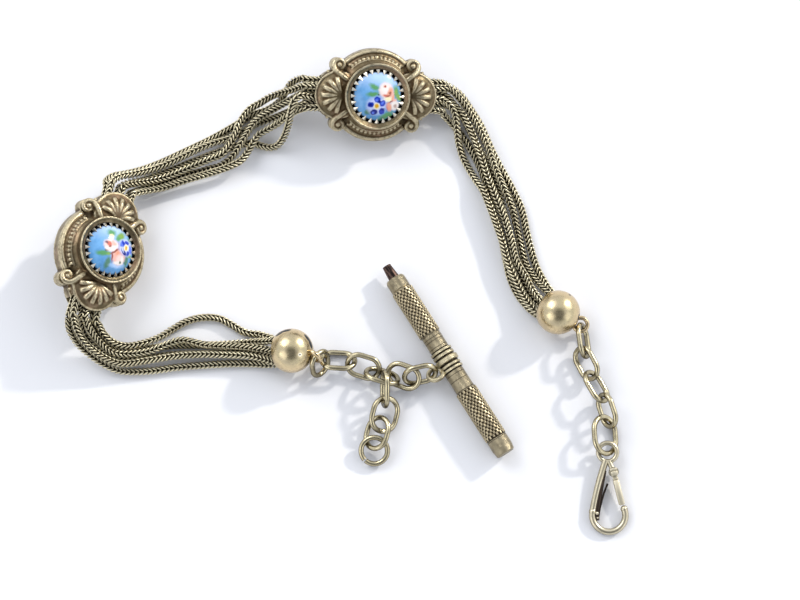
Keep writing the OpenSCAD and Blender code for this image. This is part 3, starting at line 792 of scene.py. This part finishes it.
# Brush strokes as seen: middle to the right and upwards in millimetres, half length, half width,
# turn in degrees, softness and paint
TOP_FLOWERS = (
    (1.6, 3.4, 1.2, 0.6, 0, 0.7, "haze"), (-1.2, 2.4, 0.95, 0.5, -25, 0.45, "leaf"),
    (-1.45, 1.05, 1.1, 0.4, 8, 0.45, "leaf"), (-0.4, 0.9, 0.2, 0.16, 0, 0.5, "bark"),
    (3.1, 1.6, 1.0, 0.5, 98, 0.4, "leaf"), (3.0, 1.5, 0.45, 0.28, 70, 0.5, "olive"),
    (3.7, 0.45, 0.8, 0.5, -42, 0.4, "olive"), (1.2, -3.1, 1.35, 0.55, 28, 0.45, "leaf"),
    (2.15, -3.1, 0.65, 0.4, -30, 0.4, "leaf"), (0.2, -3.9, 0.75, 0.25, 40, 0.4, "moss"),
    (-2.3, -2.4, 0.55, 0.45, 10, 0.4, "moss"),
    (1.1, 1.75, 1.35, 1.45, 0, 0.2, "blush"), (0.85, 2.0, 0.95, 0.9, 30, 0.4, "white"),
    (2.2, 1.2, 1.1, 0.4, 104, 0.35, "rose"), (1.75, 1.3, 0.95, 0.42, 66, 0.35, "peach"),
    (1.8, 1.35, 0.3, 0.24, 50, 0.5, "umber"), (1.1, 0.75, 0.65, 0.24, -14, 0.4, "coral"),
    (1.45, 0.75, 0.55, 0.1, 30, 0.5, "umber"), (0.9, 2.55, 0.36, 0.3, 0, 0.45, "rose"),
    (0.92, 2.55, 0.2, 0.2, 0, 0.5, "umber"), (1.45, 0.1, 1.05, 0.45, 10, 0.3, "cream"),
    (2.45, 0.2, 0.75, 0.26, 78, 0.35, "peach"), (1.85, -0.55, 0.85, 0.2, 30, 0.35, "umber"),
    (2.85, -0.2, 0.4, 0.4, 0, 0.4, "rose"), (2.95, -1.15, 1.05, 0.85, 10, 0.25, "white"),
    (3.0, -1.25, 0.36, 0.32, 0, 0.5, "stone"), (1.75, -1.35, 0.85, 0.45, 104, 0.3, "peach"),
    (1.3, -1.2, 0.6, 0.18, 104, 0.4, "coral"),
    (-0.72, -1.15, 1.8, 1.6, 0, 0.24, "lilac"),
    (-0.6, 0.0, 0.68, 0.5, -42, 0.18, "blue"), (-0.1, -0.35, 0.5, 0.25, -40, 0.3, "navy"),
    (-0.72, -0.1, 0.3, 0.26, 0, 0.5, "azure"), (0.42, -0.7, 0.6, 0.5, 60, 0.18, "blue"),
    (0.38, -0.65, 0.3, 0.22, 60, 0.5, "azure"), (-1.82, -1.0, 0.6, 0.5, -10, 0.18, "blue"),
    (-1.9, -1.05, 0.34, 0.28, 0, 0.5, "navy"), (-1.15, -2.35, 0.68, 0.5, 4, 0.18, "navy"),
    (-1.3, -2.45, 0.22, 0.2, 0, 0.5, "azure"), (0.36, -2.15, 0.6, 0.55, 60, 0.18, "blue"),
    (0.5, -1.8, 0.38, 0.2, 10, 0.5, "navy"), (-0.68, -1.25, 0.56, 0.56, 0, 0.22, "cream"),
    (-0.66, -1.22, 0.36, 0.38, 0, 0.3, "gold"),
)
LEFT_FLOWERS = (
    (-0.55, 3.1, 0.8, 0.65, 0, 0.5, "leaf"), (-0.6, 2.45, 0.42, 0.4, 0, 0.45, "cream"),
    (1.35, 2.55, 1.1, 0.6, 42, 0.4, "olive"), (0.8, 2.05, 0.5, 0.45, 0, 0.5, "leaf"),
    (3.4, 1.8, 0.7, 0.3, 104, 0.5, "leaf"), (-2.3, -0.95, 1.2, 0.48, 2, 0.35, "leaf"),
    (-1.7, -0.35, 0.3, 0.16, 0, 0.5, "bark"), (-1.25, -1.05, 0.4, 0.3, 0, 0.5, "olive"),
    (-1.3, -2.65, 1.0, 0.5, 76, 0.35, "moss"), (2.65, -2.0, 1.0, 0.5, 84, 0.4, "moss"),
    (3.45, -0.85, 0.5, 0.4, 20, 0.4, "olive"),
    (0.75, -2.95, 1.25, 0.4, 0, 0.6, "haze"),
    (0.85, -1.35, 1.35, 1.4, 0, 0.2, "rose"), (0.95, -0.55, 0.85, 0.6, 35, 0.35, "peach"),
    (1.6, -0.95, 0.55, 0.2, -32, 0.4, "coral"), (-0.5, -1.5, 0.85, 0.16, 92, 0.4, "umber"),
    (1.25, -1.75, 0.85, 0.75, 60, 0.35, "blush"), (0.9, -2.5, 0.95, 0.32, 0, 0.35, "white"),
    (1.75, -1.9, 0.7, 0.26, 90, 0.4, "white"), (1.35, -2.35, 0.2, 0.2, 0, 0.5, "bark"),
    (-0.75, 0.65, 1.4, 1.15, -10, 0.2, "blush"), (-0.15, 0.75, 1.0, 0.3, 118, 0.4, "rose"),
    (-0.3, 0.1, 0.95, 0.3, 36, 0.35, "white"), (-1.55, 0.1, 0.45, 0.26, 0, 0.4, "white"),
    (-1.2, 0.95, 0.55, 0.42, -40, 0.35, "coral"), (-1.7, 1.15, 0.26, 0.24, 0, 0.45, "plum"),
    (-1.05, 0.45, 0.24, 0.16, 0, 0.5, "umber"), (0.1, -0.35, 1.15, 0.18, 34, 0.35, "umber"),
    (0.85, 0.55, 0.65, 0.18, 100, 0.4, "umber"),
    (2.45, 0.55, 1.7, 1.5, 0, 0.22, "lilac"),
    (1.62, 1.1, 0.62, 0.5, 40, 0.2, "azure"), (1.9, 1.4, 0.5, 0.32, 110, 0.3, "blue"),
    (2.75, 1.5, 0.5, 0.36, -10, 0.22, "blue"), (3.55, 0.35, 0.72, 0.4, 96, 0.25, "azure"),
    (2.95, -0.5, 0.5, 0.36, 60, 0.3, "blue"), (1.95, -0.3, 0.8, 0.4, -56, 0.2, "navy"),
    (1.7, 0.1, 0.55, 0.17, -62, 0.35, "lilac"), (2.5, 0.55, 0.6, 0.56, 0, 0.25, "cream"),
    (2.5, 0.5, 0.26, 0.4, 0, 0.35, "gold"),
)


def painted(name, slide, strokes, shift, sizes):
    """Flowers painted on a blue ground, by brush strokes laid over each other."""
    look = Look(name, sizes.sky)
    middle, tip, way, _ = slide
    look.local(middle, slide_turn((middle, tip, way, 0)))
    look.waver(0.5, 0.9)
    look.lay(look.patches(0.35, 3.0, 0.55, 0.4, 0.66), sizes.deep)
    look.lay(look.spot((0.4, 4.6, 0), (4.4, 2.4, THROUGH), 0, 0.6), PAINTS["haze"])
    look.waver(0.22, 2.6)
    fuller = 1.05
    for x, y, long, wide, turn, edge, shade in strokes:
        size = (long * fuller, wide * fuller, THROUGH)
        look.lay(look.spot((x + shift[0], y + shift[1], 0), size, turn, edge), PAINTS[shade])
    # the shaded edge under the claws
    look.lay_round(look.spot((0, 0, 0), (4.58, 4.58, THROUGH), 0, 0.03), (0.006, 0.006, 0.008))
    look.bump(look.noise(1.3, 2.0), 0.1, 0.00006)
    return look.finished(sizes.gloss, 0.0)


class FOB_OT_enamels(bpy.types.Operator):
    """Paints the flowers on the two enamel plaques"""
    bl_idname = "fob.enamels"
    bl_label = "Painted enamels"

    def execute(self, context):
        sizes = context.scene.fob_enamels
        for name, slide, strokes, shift in (
                ("slide_left_enamel", LEFT_SLIDE, LEFT_FLOWERS, (0.35, 0.0)),
                ("slide_top_enamel", TOP_SLIDE, TOP_FLOWERS, (0.4, -0.55))):
            coat(name, painted(name.replace("_", " ").capitalize(), slide, strokes, shift, sizes))
        return {"FINISHED"}


# Where the key's tip lies, and the way from there to the cap in degrees round Z
KEY_TIP, BAR_WAY = (9.1, 2.9, 2.42), -58


def at_bar():
    """Where the bar lies: its own Z runs in millimetres from the key's tip to the cap."""
    return (Matrix.Translation(place(KEY_TIP)) @ Matrix.Rotation(math.radians(BAR_WAY), 4, "Z")
            @ Matrix.Rotation(math.radians(90), 4, "Y") @ Matrix.Scale(MM, 4))


def bar_look(name, tone):
    """A material whose places lie along the bar."""
    look = Look(name, tone)
    look.local(KEY_TIP, at_bar().to_3x3().normalized())
    return look


def knurling(start, pitch, rows=20, around=16):
    """Staggered rows of small pads round the bar, from start on along its axis."""
    pad = added("pad", bpy.ops.mesh.primitive_cube_add, size=1.0, location=(2.0, 0, 0),
                scale=(0.28, 0.4, 0.7))
    edit(pad, "EDGE")
    bpy.ops.mesh.bevel(offset=0.1, segments=1, affect="EDGES")
    rest()
    pads = [moved(twin(pad, "pad_copy"), location=(0, 0, start + row * pitch),
                  rotation_euler=(0, 0, 2 * math.pi * (step + row / 2) / around))
            for row in range(2) for step in range(around)]
    remove(pad)
    ring = joined("pads", pads)
    apply(ring, "ARRAY", count=rows // 2, use_relative_offset=False, use_constant_offset=True,
          constant_offset_displace=(0, 0, 2 * pitch))
    return ring


def barrel_metal(tones):
    """The bar's metal: painted shade under the knurling and in the grooves, with lathe marks between."""
    look = bar_look("Bar metal", tones.bar)
    dark, rubbed = (0.035, 0.027, 0.017), (0.76, 0.67, 0.44)

    def band(middle, half, edge=0.02):
        return look.spot((0, 0, middle), (THROUGH, THROUGH, half), 0, edge)

    look.lay(look.patches(0.45, 5.0, 0.62, 0.36, 0.66), tuple(0.5 * c for c in tones.bar))
    # painted shade under the knurling's pads
    for middle, half in ((10.75, 5.0), (33.8, 5.35)):
        look.lay(band(middle, half), dark)
    # the rings round the middle, and painted shade in the grooves between them
    rings = band(21.7, 2.5)
    look.lay(rings, rubbed, 0.7)
    look.lay(rings, dark, look.spot((0, 0, 0), (2.08, 2.08, 500), 0, 0.02))
    # dark lines painted as the shade of lines scribed into the smooth bands
    for along in (15.95, 16.7, 17.3, 18.7, 24.85, 26.1, 28.25, 39.4):
        look.lay(band(along, 0.09, 0.4), dark, 0.65)
    marks = look.node("TexWave", {"Vector": look.place, "Scale": 2.2, "Distortion": 3.0},
                      bands_direction="Z").outputs["Fac"]
    look.lay(marks, dark, 0.38)
    look.bump(marks, 0.3, 0.0001)
    return look.finished(0.36)


def key_metal(tones):
    """The key's dark steel, streaked along its length."""
    look = bar_look("Dark steel", tones.steel)
    look.place = look.node("Mapping", {"Vector": look.place, "Scale": (1, 1, 0.14)}).outputs["Vector"]
    streaks = look.noise(2.4, 3.0, 0.65)
    look.lay(look.ramp(streaks, (0.42, 0.0), (0.56, 1.0)), (0.02, 0.015, 0.014))
    look.bump(streaks, 0.3, 0.00008)
    return look.finished(0.36)


# Where the clip lies, its rise in degrees round X and its gate's turn round Z
CLIP_PLACE, CLIP_RISE, GATE_TURN = (50.9, -44.7, 0.98), 5.5, 13.8


def at_clip():
    """Where the clip, modelled flat and in millimetres, comes to lie in the frame."""
    return (Matrix.Translation(place(CLIP_PLACE)) @ Matrix.Rotation(math.radians(CLIP_RISE), 4, "X")
            @ Matrix.Scale(MM, 4))


def block(name, middle, size, bevel, turn=0.0, pin=False):
    """A box, or a pin along Z, with softened edges, in millimetres and degrees round Z."""
    if pin:
        piece = added(name, bpy.ops.mesh.primitive_cylinder_add, vertices=32, radius=0.5, depth=1.0)
    else:
        piece = added(name, bpy.ops.mesh.primitive_cube_add, size=1.0)
    moved(piece, scale=size)
    moved(piece, rotation_euler=(0, 0, math.radians(turn)), location=middle)
    apply(piece, "BEVEL", width=bevel, segments=2, limit_method="ANGLE")
    return piece


class FOB_OT_clip(bpy.types.Operator):
    """Rounds the clip's gate and adds its spring plate, rivets and hinge blocks"""
    bl_idname = "fob.clip"
    bl_label = "Clip"

    def execute(self, context):
        pale = worn_metal("Gate metal", (0.86, 0.78, 0.58), (0.10, 0.08, 0.05), 0.42, 0.55, 330.0, 0.5)
        dark = worn_metal("Plate steel", (0.07, 0.052, 0.04), (0.015, 0.012, 0.01), 0.3, 0.5, 900.0, 0.7)
        clip = at_clip()
        gate = joined("gate_bar", [
            block("bar", (0, -3.98, 0), (1.16, 4.82, 1.0), 0.26),
            block("tang", (0, -1.0, 0), (0.98, 1.9, 0.46), 0.08),
            block("knuckle", (0, 0, 0), (1.54, 1.54, 0.47), 0.06, pin=True),
            block("seam", (0, -1.35, 0), (1.08, 0.2, 0.86), 0.06)])
        moved(gate, matrix_world=(clip @ Matrix.Translation((1, 8.1, 0))
                                  @ Matrix.Rotation(math.radians(GATE_TURN), 4, "Z")))
        smooth(gate, 35)
        dress(gate, pale, "gate", "clip_metal", "clip_gate")
        plate = wire("spring_plate", [(-2.2, -1, 0.1), (-2.3, 0.4, 0.15), (-2, 2.3, 0.2), (-1.6, 4.2, 0.2),
                                      (-1.1, 6.2, 0.2), (-0.5, 8.3, 0.15)],
                     [0.42, 0.5, 0.48, 0.42, 0.34, 0.16])
        moved(plate, scale=(1, 1, 0.9))
        dress(moved(plate, matrix_world=clip), dark, "fob", "dark_steel")
        rivets = joined("clip_rivets", [
            bead(-2.25, 0.35, 0.5, (0.3, 0.3, 0.2)),
            bead(-2.15, -0.5, 0.42, (0.18, 0.18, 0.16)),
            block("upper", (0.88, 8.56, 0.7), (1.26, 0.46, 0.34), 0.08, GATE_TURN),
            block("lower", (1.07, 7.82, 0.7), (1.26, 0.82, 0.34), 0.08, GATE_TURN)])
        smooth(moved(rivets, matrix_world=clip))
        dress(rivets, pale, "fob", "clip_metal")
        return {"FINISHED"}


class FOB_OT_bar(bpy.types.Operator):
    """Knurls the bar's two gripping zones"""
    bl_idname = "fob.bar"
    bl_label = "Knurled bar"

    def execute(self, context):
        tones = context.scene.fob_metals
        pads = joined("bar_knurling", [knurling(6.0, 0.495), knurling(28.8, 0.52)])
        smooth(moved(pads, matrix_world=at_bar()), 40)
        metal = worn_metal("Knurl metal", tones.bar, (0.03, 0.022, 0.015), 0.36, 0.5, 500.0, 0.7)
        dress(pads, metal, "fob", "bar_metal")
        barrel = barrel_metal(tones)
        coat("bar_barrel", barrel)
        coat("bar_cap", barrel)
        return {"FINISHED"}


def ball_metal(name, centre, tone, slits, pits=()):
    """Soft polished gilt in mottled patches, with a painted peach reflection round its sides, painted
    shade in its seam's slits, and its pits painted as shade within a highlight.
    """
    look = Look(name, tone)
    look.local(centre, Matrix.Rotation(math.radians(12), 3, "X"))
    patch = look.patches(0.55, 5.0, 0.65, 0.42, 0.62)
    look.lay(patch, (0.58, 0.48, 0.3))
    # painted reflection: the ball's sides below its top take a peach tint, as of the warm floor
    reflection_free_crown = look.spot((0, 0, 4.2), (3.3, 3.3, 4.2), 0, 0.25)
    look.lay_round(reflection_free_crown, (0.66, 0.52, 0.31))
    look.lay(look.patches(2.6, 4.0, 0.7, 0.56, 0.68, 0.7), (0.42, 0.32, 0.19))
    seam_radius, seam_height, slit_height = 3.95, 1.43, 0.72
    # the slits are painted black, as the shade inside the seam's openings
    for degrees, long, wide in slits:
        where = polar(seam_radius, degrees, seam_height)
        look.lay(look.spot(where, (long, wide, slit_height), degrees - 90, 0.1), (0.002, 0.002, 0.002))
    # each pit is a painted highlight on its rim round painted shade in its middle, on the ball's upper
    # half
    radius_squared = 17.6
    for x, y in pits:
        where = (x, y, math.sqrt(radius_squared - x * x - y * y))
        for size, edge, shade in ((0.34, 0.2, (0.95, 0.88, 0.7)), (0.15, 0.3, (0.05, 0.035, 0.02))):
            look.lay(look.spot(where, (size, size, 0.6), 0, edge), shade)
    look.bump(look.noise(3.0, 4.0, 0.7), 0.12, 0.00006)
    return look.finished(look.fit(patch, result=(0.2, 0.34)))


class FOB_OT_metals(bpy.types.Operator):
    """Finishes the links, balls, key and clip that keep their solids"""
    bl_idname = "fob.metals"
    bl_label = "Metals"

    def execute(self, context):
        tones = context.scene.fob_metals
        # the links are darker where they look sideways or down: painted shade
        link = worn_metal("Worn link metal with painted shade", tones.link, (0.05, 0.038, 0.018), 0.16, 0.34, 420.0, 0.9,
                          shade=0.85)
        own = {
            # slits: degrees round the ball, half length and half width; pits: places
            "ball_left": ball_metal("Left ball gilt", (-8.85, -13.9, 4.25), tones.gilt,
                                    ((103, 0.95, 0.3), (122, 1.1, 0.32), (38, 0.95, 0.3), (19, 1.0, 0.34)),
                                    ((1.8, -0.66),)),
            "ball_right": ball_metal("Right ball gilt", (41.7, -6.5, 4.25), tones.gilt,
                                     ((-13, 0.7, 0.2), (57, 0.25, 0.14))),
            # the clip is darker where it looks sideways or down: painted shade
            "clip_body": worn_metal("Clip metal", (0.74, 0.66, 0.47), (0.07, 0.055, 0.035), 0.28, 0.44,
                                    330.0, 0.6, shade=0.6),
            "clip_spring": worn_metal("Spring steel", (0.06, 0.046, 0.036), (0.015, 0.012, 0.01), 0.3,
                                      0.5, 900.0, 0.7),
            "bar_key": key_metal(tones),
        }
        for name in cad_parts:
            coat(name, own.get(name, link))
        return {"FINISHED"}


# The point that the camera looks at, and the ways to the sun and to the room's darker patch
VIEW_MIDDLE = (11.7, -3.2, 0)
SUN_WAY = (0.675, 0.565, 0.47)
DARK_WAY = (0, -0.45, 0.89)
# Four soft panels round the fob, two on each side: way, power in watts and width in metres
PANEL_DISTANCE = 0.8
PANELS = (
    ((-0.53, 0.52, 0.67), 2.2, 0.46), ((-0.63, -0.47, 0.61), 1.0, 0.5),
    ((0.76, 0.41, 0.51), 0.7, 0.46), ((0.74, -0.41, 0.53), 0.45, 0.46),
)


def facing(way):
    """The turn of a lamp that hangs that way and looks back."""
    return Vector(way).to_track_quat("Z", "Y").to_euler()


def room(tint):
    """Even light from all round, with a darker patch over the viewer's side."""
    world = bpy.data.worlds.new("Room")
    world.use_nodes = True
    tree = world.node_tree
    near = tree.nodes.new("ShaderNodeVectorMath")
    near.operation = "DOT_PRODUCT"
    near.inputs[1].default_value = DARK_WAY
    tree.links.new(tree.nodes.new("ShaderNodeTexCoord").outputs["Generated"], near.inputs[0])
    patch = tree.nodes.new("ShaderNodeMapRange")
    tree.links.new(near.outputs["Value"], patch.inputs["Value"])
    for name, value in (("From Min", 0.70), ("From Max", 0.92), ("To Min", 1.02), ("To Max", 0.18)):
        patch.inputs[name].default_value = value
    background = tree.nodes["Background"]
    background.inputs["Color"].default_value = (*tint, 1.0)
    tree.links.new(patch.outputs["Result"], background.inputs["Strength"])
    return world


class FOB_OT_stage(bpy.types.Operator):
    """Lays the pale floor, hangs the lights and sets the camera"""
    bl_idname = "fob.stage"
    bl_label = "Stage"

    def execute(self, context):
        sizes = context.scene.fob_stage
        floor = added("floor", bpy.ops.mesh.primitive_plane_add, size=3.0)
        look = Look("Pale paper", sizes.floor)
        look.lay(look.noise(30.0, 3.0), tuple(0.985 * c for c in sizes.floor))
        floor.data.materials.append(look.finished(0.9, 0.0))
        context.scene.world = room(sizes.sky)

        aim = place(VIEW_MIDDLE)
        for number, (way, power, size) in enumerate(PANELS):
            rest()
            hangs = aim + Vector(way).normalized() * PANEL_DISTANCE
            bpy.ops.object.light_add(type="AREA", location=hangs, rotation=facing(way))
            panel = named("panel_%d" % (number + 1))
            panel.data.size = size
            panel.data.energy = power
            panel.data.color = (0.97, 0.98, 1.0)
            panel.visible_camera = False
        rest()
        bpy.ops.object.light_add(type="SUN", rotation=facing(SUN_WAY))
        sun = named("sun")
        sun.data.energy = 1.7
        sun.data.angle = math.radians(4)
        sun.data.color = (1.0, 0.96, 0.9)

        back = Vector((0, -math.cos(sizes.elevation), math.sin(sizes.elevation))) * sizes.distance
        rest()
        bpy.ops.object.camera_add(location=aim + back, rotation=(math.pi / 2 - sizes.elevation, 0, 0))
        camera = named("camera")
        camera.data.lens = sizes.lens
        camera.data.sensor_width = 36.0
        camera.data.clip_start = 0.01
        context.scene.camera = camera
        context.scene.view_settings.view_transform = "Standard"
        return {"FINISHED"}


# The sidebar's boxes: label, name and group of their settings, and operators
BOXES = (
    ("Stage", "fob_stage", StageSettings, (FOB_OT_stage,)),
    ("Strands", "fob_strands", StrandSettings, (FOB_OT_strands,)),
    ("Slides", "fob_slides", SlideSettings, (FOB_OT_slides,)),
    ("Enamels", "fob_enamels", EnamelSettings, (FOB_OT_enamels,)),
    ("Links, balls, bar and clip", "fob_metals", MetalSettings, (FOB_OT_metals, FOB_OT_bar, FOB_OT_clip)),
)


class FOB_PT_panel(bpy.types.Panel):
    """The fob's pieces and their sizes"""
    bl_idname = "FOB_PT_panel"
    bl_label = "Watch Fob"
    bl_space_type = "VIEW_3D"
    bl_region_type = "UI"
    bl_category = "Watch Fob"

    def draw(self, context):
        for label, name, group, operators in BOXES:
            box = self.layout.box()
            box.label(text=label)
            for key in group.__annotations__:
                box.prop(getattr(context.scene, name), key)
            for operator in operators:
                box.operator(operator.bl_idname)


def register():
    for _, name, group, operators in BOXES:
        for each in (group, *operators):
            bpy.utils.register_class(each)
        setattr(bpy.types.Scene, name, PointerProperty(type=group))
    bpy.utils.register_class(FOB_PT_panel)


def unregister():
    bpy.utils.unregister_class(FOB_PT_panel)
    for _, name, group, operators in BOXES:
        delattr(bpy.types.Scene, name)
        for each in (*operators, group):
            bpy.utils.unregister_class(each)


def main():
    register()
    bpy.ops.fob.stage()
    bpy.ops.fob.metals()
    bpy.ops.fob.enamels()
    bpy.ops.fob.bar()
    bpy.ops.fob.clip()
    bpy.ops.fob.strands()
    bpy.ops.fob.slides()


if __name__ == "__main__":
    main()
